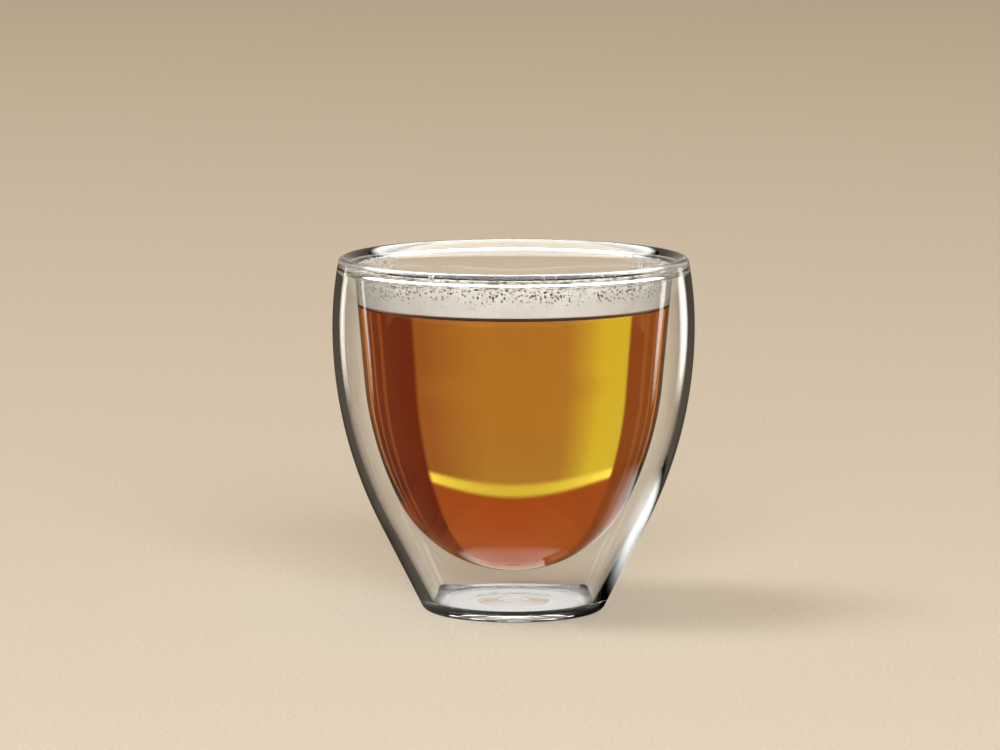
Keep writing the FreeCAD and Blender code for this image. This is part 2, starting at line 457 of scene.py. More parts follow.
class Nodes:
    """A node tree that is being filled in: makes nodes, sets their inputs and links them."""

    def __init__(self, tree: bpy.types.NodeTree) -> None:
        """Takes the tree that the nodes go into."""
        self.tree = tree

    def add(self, kind: str, inputs: dict | None = None, **settings: object) -> bpy.types.Node:
        """Makes a node, sets its properties, and sets or links its inputs.

        Args:
            kind: the node's type name.
            inputs: input names or numbers, each with a plain value or the output socket to link.
            settings: the node's own properties.

        Returns:
            The node.
        """
        node = self.tree.nodes.new(kind)
        for name, value in settings.items():
            setattr(node, name, value)
        for name, value in (inputs or {}).items():
            if isinstance(value, bpy.types.NodeSocket):
                self.tree.links.new(value, node.inputs[name])
            else:
                node.inputs[name].default_value = value
        return node

    def maths(self, operation: str, first: object, second: object = 0.0) -> bpy.types.NodeSocket:
        """A Math node's result for two numbers or sockets."""
        return self.add("ShaderNodeMath", {0: first, 1: second}, operation=operation).outputs[0]

    def spread(
        self, value: object, low: float, high: float, to_low: float, to_high: float
    ) -> bpy.types.NodeSocket:
        """A value moved from one range to another, and held inside it."""
        inputs = {"Value": value, "From Min": low, "From Max": high, "To Min": to_low, "To Max": to_high}
        return self.add("ShaderNodeMapRange", inputs, clamp=True).outputs["Result"]


def new_material(name: str) -> tuple[bpy.types.Material, Nodes]:
    """A material and its node tree, with nothing in it yet."""
    material = bpy.data.materials.new(name)
    material.use_nodes = True
    material.node_tree.nodes.clear()
    return material, Nodes(material.node_tree)


@dataclass(frozen=True)
class HandlingMarks:
    """A shared effect for shiny surfaces: faint smudges in the gloss and a slight waver in the surface."""

    name: str = "handling_marks"

    def group(self) -> bpy.types.NodeTree:
        """The node group, made on first use.

        Its smudge is noise on Object coordinates, cut to patches and broken up by a finer noise. Its waver is
        a slow noise, for a Bump node's height.

        Returns:
            The group's tree.
        """
        if self.name in bpy.data.node_groups:
            return bpy.data.node_groups[self.name]
        tree = bpy.data.node_groups.new(self.name, "ShaderNodeTree")
        for socket, low, high, start in (
            ("Patch Scale", 0.0, 1000.0, 60.0),
            ("Waver Scale", 0.0, 1000.0, 40.0),
            ("Clean Roughness", 0.0, 1.0, 0.0),
            ("Smudge Roughness", 0.0, 1.0, 0.05),
        ):
            made = tree.interface.new_socket(socket, in_out="INPUT", socket_type="NodeSocketFloat")
            made.min_value, made.max_value, made.default_value = low, high, start
        for socket in ("Roughness", "Height"):
            tree.interface.new_socket(socket, in_out="OUTPUT", socket_type="NodeSocketFloat")
        nodes = Nodes(tree)
        values = nodes.add("NodeGroupInput")
        place = nodes.add("ShaderNodeTexCoord").outputs["Object"]
        scale, slow_scale = values.outputs["Patch Scale"], values.outputs["Waver Scale"]
        patches = nodes.add("ShaderNodeTexNoise", {"Vector": place, "Scale": scale, "Detail": 3.0})
        fine_scale = nodes.maths("MULTIPLY", scale, 14.0)
        fine = nodes.add("ShaderNodeTexNoise", {"Vector": place, "Scale": fine_scale, "Detail": 2.0})
        slow = nodes.add("ShaderNodeTexNoise", {"Vector": place, "Scale": slow_scale, "Detail": 1.0})
        patch = nodes.spread(patches.outputs["Fac"], 0.52, 0.7, 0.0, 1.0)
        smudge = nodes.maths("MULTIPLY", patch, nodes.spread(fine.outputs["Fac"], 0.3, 0.7, 0.2, 1.0))
        inputs = {
            "Value": smudge,
            "To Min": values.outputs["Clean Roughness"],
            "To Max": values.outputs["Smudge Roughness"],
        }
        roughness = nodes.add("ShaderNodeMapRange", inputs, clamp=True)
        ends = nodes.add("NodeGroupOutput")
        tree.links.new(roughness.outputs["Result"], ends.inputs["Roughness"])
        tree.links.new(slow.outputs["Fac"], ends.inputs["Height"])
        return tree

    def placed(self, nodes: Nodes, patch: float, waver: float, smudge: float) -> bpy.types.Node:
        """The group as a node in a material, with its own values.

        Args:
            nodes: the material's nodes.
            patch: the scale of the smudges.
            waver: the scale of the waver.
            smudge: the roughness of a full smudge.

        Returns:
            The group's node.
        """
        node = nodes.add("ShaderNodeGroup", node_tree=self.group())
        for name, value in (("Patch Scale", patch), ("Waver Scale", waver), ("Smudge Roughness", smudge)):
            node.inputs[name].default_value = value
        return node


@dataclass(frozen=True)
class Clear:
    """A clear body with faint marks in its gloss. Each of the clear finishes fills in the values.

    A liquid takes up light on its way through: blue first, then green, by its absorbed colour and density.
    """

    name: str
    bend: float
    patch: float
    waver: float
    smudge: float
    waver_strength: float = 0.0
    reflection: float = 1.0
    absorbed: Colour = (1.0, 1.0, 1.0)
    density: float = 0.0

    def material(self) -> bpy.types.Material:
        """The finish as a material, with what is the same all over as plain values."""
        material, nodes = new_material(self.name)
        marks = HandlingMarks().placed(nodes, self.patch, self.waver, self.smudge)
        inputs = {
            "Base Color": (1.0, 1.0, 1.0, 1.0),
            "Metallic": 0.0,
            "Roughness": marks.outputs["Roughness"],
            "IOR": self.bend,
            "Transmission Weight": 1.0,
            "Specular Tint": (self.reflection, self.reflection, self.reflection, 1.0),
        }
        if self.waver_strength > 0:
            waver = {"Height": marks.outputs["Height"], "Strength": self.waver_strength, "Distance": 0.0002}
            inputs["Normal"] = nodes.add("ShaderNodeBump", waver).outputs["Normal"]
        ends = {"Surface": nodes.add("ShaderNodeBsdfPrincipled", inputs).outputs[0]}
        if self.density > 0:
            soaked = {"Color": (*self.absorbed, 1.0), "Density": self.density}
            ends["Volume"] = nodes.add("ShaderNodeVolumeAbsorption", soaked).outputs[0]
        nodes.add("ShaderNodeOutputMaterial", ends)
        return material


@dataclass(frozen=True)
class ClearGlass(Clear):
    """Polished borosilicate glass."""

    name: str = "clear_glass"
    bend: float = 1.47
    patch: float = 55.0
    waver: float = 45.0
    smudge: float = 0.02
    waver_strength: float = 0.05
    reflection: float = 0.6


@dataclass(frozen=True)
class AmberTea(Clear):
    """Clear black tea."""

    name: str = "amber_tea"
    bend: float = 1.333
    patch: float = 25.0
    waver: float = 30.0
    smudge: float = 0.0
    waver_strength: float = 0.04
    absorbed: Colour = (0.907, 0.643, 0.083)
    density: float = 42.0


@dataclass(frozen=True)
class WaterBead(Clear):
    """Beads of clear water."""

    name: str = "water_beads"
    bend: float = 1.333
    patch: float = 200.0
    waver: float = 400.0
    smudge: float = 0.04


@dataclass(frozen=True)
class Fog:
    """White fog of droplets too fine to see, with dark pinpricks of painted shade between larger ones."""

    name: str = "fog"
    colour: Colour = (0.70, 0.68, 0.64)
    # Painted shade: the pinpricks' dark colour stands in for the dark refraction of larger clear drops.
    speck_shade_colour: Colour = (0.22, 0.19, 0.15)
    thickest: float = 0.96
    cells_per_metre: float = 1500.0
    speck_shade_size: float = 0.46
    attribute: str = "fog_amount"
    speck_shade_attribute: str = "gap_amount"

    def material(self) -> bpy.types.Material:
        """The fog as a material, see-through where it is thin.

        A pinprick of painted shade is the middle of a Voronoi cell, out to a share of the cell that is each
        cell's own random number times the painted shade attribute. Its dark colour stands in for the dark
        refraction of a larger clear drop.
        """
        material, nodes = new_material(self.name)
        place = nodes.add("ShaderNodeTexCoord").outputs["Object"]
        amount = nodes.add("ShaderNodeAttribute", attribute_name=self.attribute).outputs["Fac"]
        speck_shade_amounts = nodes.add("ShaderNodeAttribute", attribute_name=self.speck_shade_attribute).outputs["Fac"]
        patches = {"Vector": place, "Scale": 180.0, "Detail": 3.0}
        coarse = nodes.add("ShaderNodeTexNoise", patches).outputs["Fac"]
        cells = nodes.add("ShaderNodeTexVoronoi", {"Vector": place, "Scale": self.cells_per_metre})
        chance = nodes.add("ShaderNodeSeparateColor", {0: cells.outputs["Color"]}).outputs[0]
        size = nodes.maths("MULTIPLY", nodes.spread(chance, 0.05, 0.85, 0.0, 1.0), self.speck_shade_size)
        reach = nodes.maths("MULTIPLY", size, speck_shade_amounts)
        inner = nodes.maths("SUBTRACT", reach, cells.outputs["Distance"])
        shade_speck = nodes.spread(inner, -0.04, 0.04, 0.0, 1.0)
        # The pinpricks take the painted shade colour.
        inputs = {"Factor": shade_speck, 6: (*self.colour, 1.0), 7: (*self.speck_shade_colour, 1.0)}
        colour = nodes.add("ShaderNodeMix", inputs, data_type="RGBA").outputs[2]
        thin = nodes.spread(coarse, 0.3, 0.7, 0.86, 1.0)
        alpha = nodes.maths("MULTIPLY", nodes.maths("MULTIPLY", amount, self.thickest), thin)
        inputs = {"Base Color": colour, "Roughness": 0.9, "Alpha": alpha, "Specular IOR Level": 0.1}
        shader = nodes.add("ShaderNodeBsdfPrincipled", inputs)
        nodes.add("ShaderNodeOutputMaterial", {"Surface": shader.outputs[0]})
        return material


@dataclass(frozen=True)
class StudioFloor:
    """Matt, pale, warm paper with a very fine grain; painted shade dims it in reflections and through the
    tea.
    """

    name: str = "studio_floor"
    colour: Colour = (0.61, 0.565, 0.475)
    # Painted shade: seen in a reflection, the floor keeps this share of its colour.
    reflection_shade_share: float = 0.12
    # Painted shadow: seen through the tea, the floor keeps this share, in place of the shadow the glass
    # doesn't cast.
    painted_shadow_share: float = 0.5

    def material(self) -> bpy.types.Material:
        """The paper as a material."""
        material, nodes = new_material(self.name)
        place = nodes.add("ShaderNodeTexCoord").outputs["Object"]
        fibres = {"Vector": place, "Scale": 900.0, "Detail": 3.0}
        grain = nodes.add("ShaderNodeTexNoise", fibres).outputs["Fac"]
        shade = nodes.spread(grain, 0.3, 0.7, 0.94, 1.06)
        path = nodes.add("ShaderNodeLightPath").outputs
        mirrored = nodes.maths("GREATER_THAN", path["Glossy Depth"], 0.5)
        steeped = nodes.maths("GREATER_THAN", path["Transmission Depth"], TEA_FACES)
        # Painted shade in reflections and painted shadow through the tea, picked by the path's depths.
        seen = nodes.maths("MULTIPLY", shade, nodes.spread(mirrored, 0.0, 1.0, 1.0, self.reflection_shade_share))
        seen = nodes.maths("MULTIPLY", seen, nodes.spread(steeped, 0.0, 1.0, 1.0, self.painted_shadow_share))
        tint = nodes.add("ShaderNodeVectorMath", {0: self.colour, "Scale": seen}, operation="SCALE")
        inputs = {"Base Color": tint.outputs[0], "Roughness": 0.95, "Specular IOR Level": 0.0}
        shader = nodes.add("ShaderNodeBsdfPrincipled", inputs)
        nodes.add("ShaderNodeOutputMaterial", {"Surface": shader.outputs[0]})
        return material


@dataclass
class Cup:
    """The double-wall glass, as one surface outside and one round the sealed air space."""

    shape: CupShape
    segments: int = 200
    name: str = "cup_glass"
    finish: ClearGlass = field(default_factory=ClearGlass)

    def build(self) -> bpy.types.Object:
        """Turns the glass's outline and the air space's face, and puts both in one piece.

        Returns:
            The piece, dressed.
        """
        outside = turned(self.shape.outline(), self.segments, Facing.INWARD)
        space = turned(self.shape.air_space(), self.segments, Facing.OUTWARD)
        piece = Surface.joined([outside, space]).piece(self.name)
        self.dress(piece)
        return piece

    def dress(self, piece: bpy.types.Object) -> None:
        """Gives the glass its finish and no shadow, hides the imported glass, and hangs it on the root body.
        """
        piece.data.materials.append(self.finish.material())
        piece.visible_shadow = False
        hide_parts("glass_cup")
        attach(piece, "root")


@dataclass
class Tea:
    """The tea, which reaches a little into the bowl's wall, with a meniscus that climbs the glass."""

    shape: CupShape
    level: float
    sink: float = 0.3 * MM
    climb: float = 1.1 * MM
    climb_width: float = 1.3 * MM
    segments: int = 200
    name: str = "tea_liquid"
    finish: AmberTea = field(default_factory=AmberTea)

    def profile(self) -> np.ndarray:
        """The bowl's face moved out into the wall, then the tea's surface from the wall in to the axis.

        The surface's height is level + climb * exp(-(wall radius - r) / climb width).
        """
        side = self.shape.bowl(0.0)
        along = np.gradient(side, axis=0)
        along /= np.linalg.norm(along, axis=1, keepdims=True)
        side = side + self.sink * np.stack([along[:, 1], -along[:, 0]], axis=1)
        side[0, 0] = 0.0
        top = self.level + self.climb
        side = side[side[:, 1] < top - 0.1 * MM]
        wall = float(np.interp(self.level, side[:, 1], side[:, 0]))
        rim = float(np.interp(top, self.shape.bowl(0.0)[:, 1], self.shape.bowl(0.0)[:, 0])) + self.sink
        reach = rim - self.sink
        inward = reach * (1 - np.geomspace(1e-3, 1.0, 70))
        radius = np.concatenate([[rim, reach], inward])
        height = self.level + self.climb * np.exp(-np.clip(reach - radius, 0.0, None) / self.climb_width)
        surface = np.stack([radius, height], axis=1)
        surface[-1, 0] = 0.0
        LOG.info("tea: wall radius %.2f mm at its level", wall / MM)
        return np.concatenate([side, surface])

    def build(self) -> bpy.types.Object:
        """Turns the tea's profile, and dresses it.

        Returns:
            The piece.
        """
        piece = turned(self.profile(), self.segments, Facing.OUTWARD).piece(self.name)
        piece.data.materials.append(self.finish.material())
        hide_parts("tea")
        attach(piece, "root")
        return piece


def bead_form(sides: int, rings: tuple[float, ...], sunk: float) -> Surface:
    """A bead on a flat base: a dome of unit radius on the plane, its base sunk and closed.

    A ring at lift t has the radius cos t and the height sin t, and the last point is the dome's top.

    Args:
        sides: how many points a ring has.
        rings: each ring's lift in radians, from the base up.
        sunk: how far under the plane the closing disc lies.

    Returns:
        The bead, with its axis along the third coordinate.
    """
    angles = np.arange(sides) * (2 * math.pi / sides)
    lifts = np.array(rings)
    around = np.stack([np.cos(angles), np.sin(angles)], axis=1)
    flat = np.cos(lifts)[:, None, None] * around[None]
    height = np.broadcast_to(np.sin(lifts)[:, None, None], flat.shape[:2] + (1,))
    domes = np.concatenate([flat, height], axis=2)
    base = domes[:1].copy()
    base[..., 2] = -sunk
    points = np.concatenate([base, domes]).reshape(-1, 3)
    points = np.concatenate([points, [[0.0, 0.0, -sunk], [0.0, 0.0, 1.0]]])
    quads = grid_faces(len(rings) + 1, sides, closed=True)
    here = np.arange(sides)
    there = (here + 1) % sides
    last = len(rings) * sides
    low, high = len(points) - 2, len(points) - 1
    fans = [
        np.stack([np.full(sides, low), there, here], axis=1),
        np.stack([np.full(sides, high), last + here, last + there], axis=1),
    ]
    return Surface(points, quads, np.concatenate(fans))


@dataclass
class Condensation:
    """Fog and beads of water on the bowl's inner wall, between tea and lip, fading out towards the back.

    The drops are depths under the lip. The wavers, row gap and half-widths of the beads are shares of the
    spacing, which goes from coarse under the lip to fine above the tea. A bead is sunk into the wall by a
    share of its thickness.
    """

    shape: CupShape
    level: float
    bead_drop: float = 2.7 * MM
    large_drop: float = 2.9 * MM
    fog_drop: float = 2.4 * MM
    beads_above_tea: float = 4.0 * MM
    fog_above_tea: float = 0.9 * MM
    front: float = math.radians(-90.0)
    full_turn: float = math.radians(95.0)
    fade_turn: float = math.radians(40.0)
    coarse: float = 1.05 * MM
    fine: float = 0.55 * MM
    waver: float = 0.42
    row_waver: float = 0.45
    row_gap: float = 0.9
    half_widths: Pair = (0.26, 0.47)
    sunk: float = 0.15
    film_sunk: float = 0.04 * MM
    seed: int = 7
    beads: WaterBead = field(default_factory=WaterBead)
    fog: Fog = field(default_factory=Fog)

    def wall(self, height: np.ndarray) -> tuple[np.ndarray, np.ndarray]:
        """The bowl's inner radius at heights, and the slope of that radius with height."""
        face = self.shape.bowl(0.0)
        radius = np.interp(height, face[:, 1], face[:, 0])
        step = 0.2 * MM
        above = np.interp(height + step, face[:, 1], face[:, 0])
        below = np.interp(height - step, face[:, 1], face[:, 0])
        return radius, (above - below) / (2 * step)

    def amount(self, angle: np.ndarray) -> np.ndarray:
        """How much water is left at angles round the bowl: 1 at the front, falling to 0 towards the back."""
        off = np.abs((angle - self.front + math.pi) % (2 * math.pi) - math.pi)
        return np.clip((self.full_turn + self.fade_turn - off) / self.fade_turn, 0.0, 1.0)

    def placed(self, form: Surface, angle: np.ndarray, height: np.ndarray, size: np.ndarray) -> Surface:
        """Copies of one bead form on the wall.

        A form's point (u, v, w) goes to wall point + u * around + v * up the wall + w * out of the wall.
        These three directions are left-handed, so the form's faces are turned over.

        Args:
            form: the bead's form.
            angle: each bead's angle round the bowl.
            height: each bead's height.
            size: each bead's half-width round the bowl, half-width up the wall, and thickness, as rows.

        Returns:
            All the beads as one surface.
        """
        radius, slope = self.wall(height)
        cosine, sine = np.cos(angle), np.sin(angle)
        zero, one = np.zeros_like(angle), np.ones_like(angle)
        long = np.sqrt(1 + slope**2)
        centre = np.stack([radius * cosine, radius * sine, height], axis=1)
        around = np.stack([-sine, cosine, zero], axis=1)
        up = np.stack([slope * cosine, slope * sine, one], axis=1) / long[:, None]
        frame = np.stack([around, up, np.cross(up, around)], axis=1)
        points = centre[:, None] + (form.points[None] * size[:, None, :]) @ frame
        start = np.arange(len(angle))[:, None, None] * len(form.points)
        quads = (form.quads[None] + start).reshape(-1, 4)[:, ::-1]
        triangles = (form.triangles[None] + start).reshape(-1, 3)[:, ::-1]
        return Surface(points.reshape(-1, 3), quads, triangles)

    def scattered(self, rng: np.random.Generator, scale: float) -> tuple[np.ndarray, np.ndarray, np.ndarray]:
        """Places for beads in wavering rows, coarse under the lip and finer towards the tea.

        Args:
            rng: the random numbers.
            scale: how wide the spacing is, against the widths in the fields.

        Returns:
            Angles, heights and half-widths.
        """
        low, high = self.level + self.beads_above_tea, self.shape.sizes.height - self.bead_drop
        angles, heights, sizes = [], [], []
        height = high
        while height > low:
            share = (height - low) / (high - low)
            space = scale * (self.fine + (self.coarse - self.fine) * share)
            radius = float(self.wall(np.array([height]))[0][0])
            count = int(2 * math.pi * radius / space)
            steps = np.arange(count) + rng.uniform(-self.waver, self.waver, count)
            turn = steps * (2 * math.pi / count) + rng.uniform(0, 1)
            rise = height + space * rng.uniform(-self.row_waver, self.row_waver, count)
            kept = rng.uniform(size=count) < self.amount(turn) * (0.95 if share > 0.25 else 0.55 + share)
            angles.append(turn[kept])
            heights.append(rise[kept])
            sizes.append(space * rng.uniform(*self.half_widths, count)[kept])
            height -= space * self.row_gap
        return np.concatenate(angles), np.concatenate(heights), np.concatenate(sizes)

    def build_beads(self) -> bpy.types.Object:
        """Rows of beads, finer ones between them, and a few large ones under the lip, as one mesh."""
        rng = np.random.default_rng(self.seed)
        parts = []
        for scale, sides, rings in ((1.0, 8, (0.0, 0.6, 1.1)), (0.72, 6, (0.0, 0.8))):
            angle, height, half = self.scattered(rng, scale)
            stretch = rng.uniform(0.85, 1.3, len(angle))
            thick = half * rng.uniform(0.55, 0.85, len(angle))
            size = np.stack([half, half * stretch, thick], axis=1)
            parts.append(self.placed(bead_form(sides, rings, self.sunk), angle, height, size))
            LOG.info("beads: %d of spacing %.2f mm", len(angle), scale * self.coarse / MM)
        angle = self.front + np.radians([-7.5, 18.5, -38.0, 46.0])
        height = np.full(len(angle), self.shape.sizes.height - self.large_drop)
        size = np.array([[1.6, 0.5, 0.5], [1.5, 0.55, 0.5], [1.0, 0.5, 0.4], [1.1, 0.5, 0.4]]) * MM
        parts.append(self.placed(bead_form(16, (0.0, 0.3, 0.6, 0.9, 1.2), self.sunk), angle, height, size))
        piece = Surface.joined(parts).piece("water_beads")
        piece.data.materials.append(self.beads.material())
        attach(piece, "root")
        return piece

    def build_fog(self) -> bpy.types.Object:
        """A film a hair inside the glass: a grid over turn and height, with its two attributes."""
        low, high = self.level + self.fog_above_tea, self.shape.sizes.height - self.fog_drop
        heights = np.linspace(low, high, 40)
        turns = np.arange(240) * (2 * math.pi / 240)
        radius = self.wall(heights)[0] + self.film_sunk
        flat = radius[:, None, None] * np.stack([np.cos(turns), np.sin(turns)], axis=1)[None]
        height = np.broadcast_to(heights[:, None, None], flat.shape[:2] + (1,))
        points = np.concatenate([flat, height], axis=2)
        quads = grid_faces(len(heights), len(turns), closed=True)[:, [0, 3, 2, 1]]
        piece = Surface(points.reshape(-1, 3), quads, NO_TRIANGLES).piece("fog_film")
        share = (heights - low) / (high - low)
        band = np.clip(share / 0.04, 0.0, 1.0) * np.clip((1.02 - share) / 0.05, 0.0, 1.0)
        amount = (band[:, None] * self.amount(turns)[None]).ravel()
        # How large the painted shade pinpricks may be: none near the tea and at the very top, full in
        # between.
        coarse = np.clip((share - 0.16) / 0.3, 0.0, 1.0) * np.clip((0.97 - share) / 0.04, 0.0, 1.0)
        speck_shade_amounts = (coarse[:, None] * np.ones(len(turns))[None]).ravel()
        for name, values in ((self.fog.attribute, amount), (self.fog.speck_shade_attribute, speck_shade_amounts)):
            layer = piece.data.attributes.new(name, "FLOAT", "POINT")
            layer.data.foreach_set("value", values.astype(np.float32))
        piece.data.materials.append(self.fog.material())
        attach(piece, "root")
        return piece


@dataclass(frozen=True)
class Lamp:
    """One studio light: a rectangle that faces a point."""

    name: str
    place: Point
    width: float
    height: float
    power: float
    aim: Point = (0.0, 0.0, 0.05)

    def build(self) -> bpy.types.Object:
        """Makes the light. It isn't seen itself, straight on or in the glass."""
        light = bpy.data.lights.new(self.name, "AREA")
        light.shape, light.size, light.size_y = "RECTANGLE", self.width, self.height
        light.energy = self.power
        thing = bpy.data.objects.new(self.name, light)
        thing.visible_camera = thing.visible_glossy = thing.visible_transmission = False
        thing.matrix_world = facing_matrix(self.place, self.aim)
        bpy.context.scene.collection.objects.link(thing)
        return thing


def glowing(piece: bpy.types.Object, glows: np.ndarray, sight: Sight) -> None:
    """Makes a stage piece glow by its points, for some paths of light only. It lights nothing itself.

    Args:
        piece: the stage piece.
        glows: the colour of each point, as rows.
        sight: which paths see the glow.
    """
    rows = np.concatenate([glows, np.ones((len(glows), 1))], axis=1)
    layer = piece.data.attributes.new("glow", "FLOAT_COLOR", "POINT")
    layer.data.foreach_set("color", rows.astype(np.float32).ravel())
    material, nodes = new_material(piece.name)
    glow = nodes.add("ShaderNodeAttribute", attribute_name="glow").outputs["Color"]
    light = nodes.add("ShaderNodeEmission", {"Color": glow, "Strength": 1.0})
    clear = nodes.add("ShaderNodeBsdfTransparent")
    path = nodes.add("ShaderNodeLightPath").outputs
    faces = path["Transmission Depth"]
    if sight is Sight.MIRRORED:
        mirrored = nodes.maths("GREATER_THAN", path["Glossy Depth"], 0.5)
        seen = nodes.maths("MULTIPLY", mirrored, nodes.maths("LESS_THAN", faces, TEA_FACES))
    elif sight is Sight.THROUGH_TEA:
        seen = nodes.maths("GREATER_THAN", faces, TEA_FACES)
    else:
        near = {0: faces, 1: EMPTY_GLASS_FACES, 2: TEA_FACES - EMPTY_GLASS_FACES}
        seen = nodes.add("ShaderNodeMath", near, operation="COMPARE").outputs[0]
    both = nodes.add("ShaderNodeMixShader", {0: seen, 1: clear.outputs[0], 2: light.outputs[0]})
    nodes.add("ShaderNodeOutputMaterial", {"Surface": both.outputs[0]})
    material.cycles.emission_sampling = "NONE"
    piece.data.materials.append(material)
    piece.visible_camera = piece.visible_diffuse = piece.visible_shadow = False


@dataclass(frozen=True)
class Card:
    """A glowing card that fades towards its edges. It lies level, or stands upright and faces the cup."""

    name: str
    sight: Sight
    place: Point
    size: Pair
    glow: Colour
    fade: float = 0.6
    upright: bool = False
    steps: int = 24

    def build(self) -> bpy.types.Object:
        """Builds the card as a grid over (u, v) from -1 to 1, with a glow that falls smoothly to nought.

        It falls from 1 to 0 as sqrt(u * u + v * v) goes over the outer fade share of the card.

        Returns:
            The card.
        """
        across, up = np.meshgrid(np.linspace(-1.0, 1.0, self.steps), np.linspace(-1.0, 1.0, self.steps))
        local = np.stack([across * self.size[0] / 2, up * self.size[1] / 2, np.zeros_like(up)], axis=-1)
        across_floor, height = self.place[:2], self.place[2]
        aim = (0.0, 0.0, height) if self.upright else (*across_floor, height - 1.0)
        turn = np.array(facing_matrix(self.place, aim))
        points = local.reshape(-1, 3) @ turn[:3, :3].T + turn[:3, 3]
        quads = grid_faces(self.steps, self.steps, closed=False)
        card = Surface(points, quads, NO_TRIANGLES).piece(self.name)
        half = self.fade / 2
        edges = smooth(-np.hypot(across, up), half - 1.0, half)
        glowing(card, edges.reshape(-1, 1) * np.array([self.glow]), self.sight)
        return card


def facing_matrix(place: Point, aim: Point) -> Matrix:
    """The world matrix of a light, card or camera at a place that looks along its own -Z to an aim, +Y up."""
    back = (Vector(place) - Vector(aim)).normalized()
    side = Vector((0.0, 0.0, 1.0)).cross(back)
    side = side.normalized() if side.length > 1e-6 else Vector((1.0, 0.0, 0.0))
    up = back.cross(side)
    columns = Matrix((side, up, back)).transposed().to_4x4()
    return Matrix.Translation(Vector(place)) @ columns


@dataclass(frozen=True)
class LightTent:
    """A round tent wall that is only seen through the tea: four bright panels between dark corners.

    Angles are in degrees from the middle of the nearest panel, positive clockwise seen from above. Each strip
    is its angle to either side, half its width and its share of the strip glow.
    """

    name: str = "light_tent"
    radius: float = 0.36
    height: float = 0.62
    every: float = 90.0
    stops: tuple[float, ...] = (-14.0, -7.5, 4.0, 14.0)
    panel_left: float = -21.5
    panel_right: float = 16.5
    panel_top: float = 0.071
    panel_dip: float = 0.012
    trim: float = 0.006
    trim_edge: float = 0.0015
    trim_dip: float = 0.4
    plain_top: float = 0.034
    plain_half: float = 16.5
    soft_edge: float = 0.7
    middle_glow: Colour = (0.65, 0.545, 0.26)
    left_glow: Colour = (1.0, 1.30, 0.25)
    right_glow: Colour = (0.465, 0.255, 0.15)
    trim_glow: Colour = (1.75, 2.3, 0.7)
    corner_glow: Colour = (0.19, 0.03, 0.01)
    left_corner_glow: Colour = (0.36, 0.13, 0.05)
    upper_glow: Colour = (0.52, 0.17, 0.065)
    front_turn: float = 104.0
    front_share: float = 0.75
    strips: tuple[tuple[float, float, float], ...] = ((44.0, 1.0, 1.0), (36.0, 0.8, 0.3), (29.5, 1.1, 0.16))
    strip_glow: Colour = (1.2, 0.7, 0.3)

    def glow(self, angle: np.ndarray, height: np.ndarray) -> np.ndarray:
        """The wall's glow over angle and height.

        The panel's colour goes from the left colour through the middle one to the right one, and is the
        middle one all along its foot. Its top edge rises towards both sides, has a bright trim, and the upper
        colour above it. Outside the panel are the corner colours, with narrow bright strips. In front of the
        cup the corners are as plain as the panels' middle. Each change is a smooth step.

        Args:
            angle: angles round the tent in degrees, from the panel behind the cup.
            height: heights above the floor.

        Returns:
            Colours, one for each pair of angle and height.
        """
        turn = (angle + self.every / 2) % self.every - self.every / 2
        tints = np.array([self.left_glow, self.middle_glow, self.middle_glow, self.right_glow])
        panel = np.stack([np.interp(turn, self.stops, tints[:, channel]) for channel in range(3)], axis=-1)
        plain = smooth(-height, -self.plain_top, 0.004) * smooth(-np.abs(turn), -self.plain_half, 1.0)
        panel = panel * (1 - plain)[..., None] + np.array(self.middle_glow) * plain[..., None]
        inside = smooth(turn, self.panel_left, self.soft_edge)
        inside = inside * smooth(-turn, -self.panel_right, self.soft_edge)
        off_middle = np.clip(2 * turn / (self.panel_right - self.panel_left), -1.5, 1.5) ** 2
        top = self.panel_top + self.panel_dip * off_middle
        above = smooth(height - top, 0.0, self.trim_edge)
        trimmed = smooth(height - top, -self.trim, self.trim_edge)[..., None]
        dimmed = 1.0 - self.trim_dip + self.trim_dip * off_middle
        bright = np.array(self.trim_glow) * dimmed[..., None]
        panel = panel * (1 - trimmed) + bright * trimmed
        panel = panel * (1 - above)[..., None] + np.array(self.upper_glow) * above[..., None]
        strip = np.zeros_like(turn)
        for place, half, share in self.strips:
            strip = np.maximum(strip, share * smooth(-np.abs(np.abs(turn) - place), -half, 0.5))
        strip = strip[..., None]
        side = smooth(-turn, 0.0, 1.0)[..., None]
        corner = np.array(self.corner_glow) * (1 - side) + np.array(self.left_corner_glow) * side
        corner = corner * (1 - strip) + np.array(self.strip_glow) * strip
        facing = smooth(np.abs(angle), self.front_turn, 6.0)[..., None]
        corner = corner * (1 - facing) + self.front_share * np.array(self.middle_glow) * facing
        return panel * inside[..., None] + corner * (1 - inside)[..., None]

    def build(self) -> bpy.types.Object:
        """Builds the wall as a grid over angle and height, with its glow kept as a colour attribute."""
        levels = np.concatenate([np.linspace(0.0005, 0.1, 81), np.linspace(0.105, self.height, 60)])
        angles, heights = np.meshgrid(np.linspace(-180.0, 180.0, 1081), levels)
        across = self.radius * np.sin(np.radians(angles))
        along = self.radius * np.cos(np.radians(angles))
        points = np.stack([across, along, heights], axis=-1).reshape(-1, 3)
        quads = grid_faces(heights.shape[0], heights.shape[1], closed=False)
        wall = Surface(points, quads, NO_TRIANGLES).piece(self.name)
        glowing(wall, self.glow(angles, heights).reshape(-1, 3), Sight.THROUGH_TEA)
        return wall


def smooth(value: np.ndarray, edge: float, half: float) -> np.ndarray:
    """A smooth step from 0 to 1 as value passes edge, over half on each side of it: t * t * (3 - 2 * t)."""
    share = np.clip((value - edge + half) / (2 * half), 0.0, 1.0)
    return share * share * (3 - 2 * share)


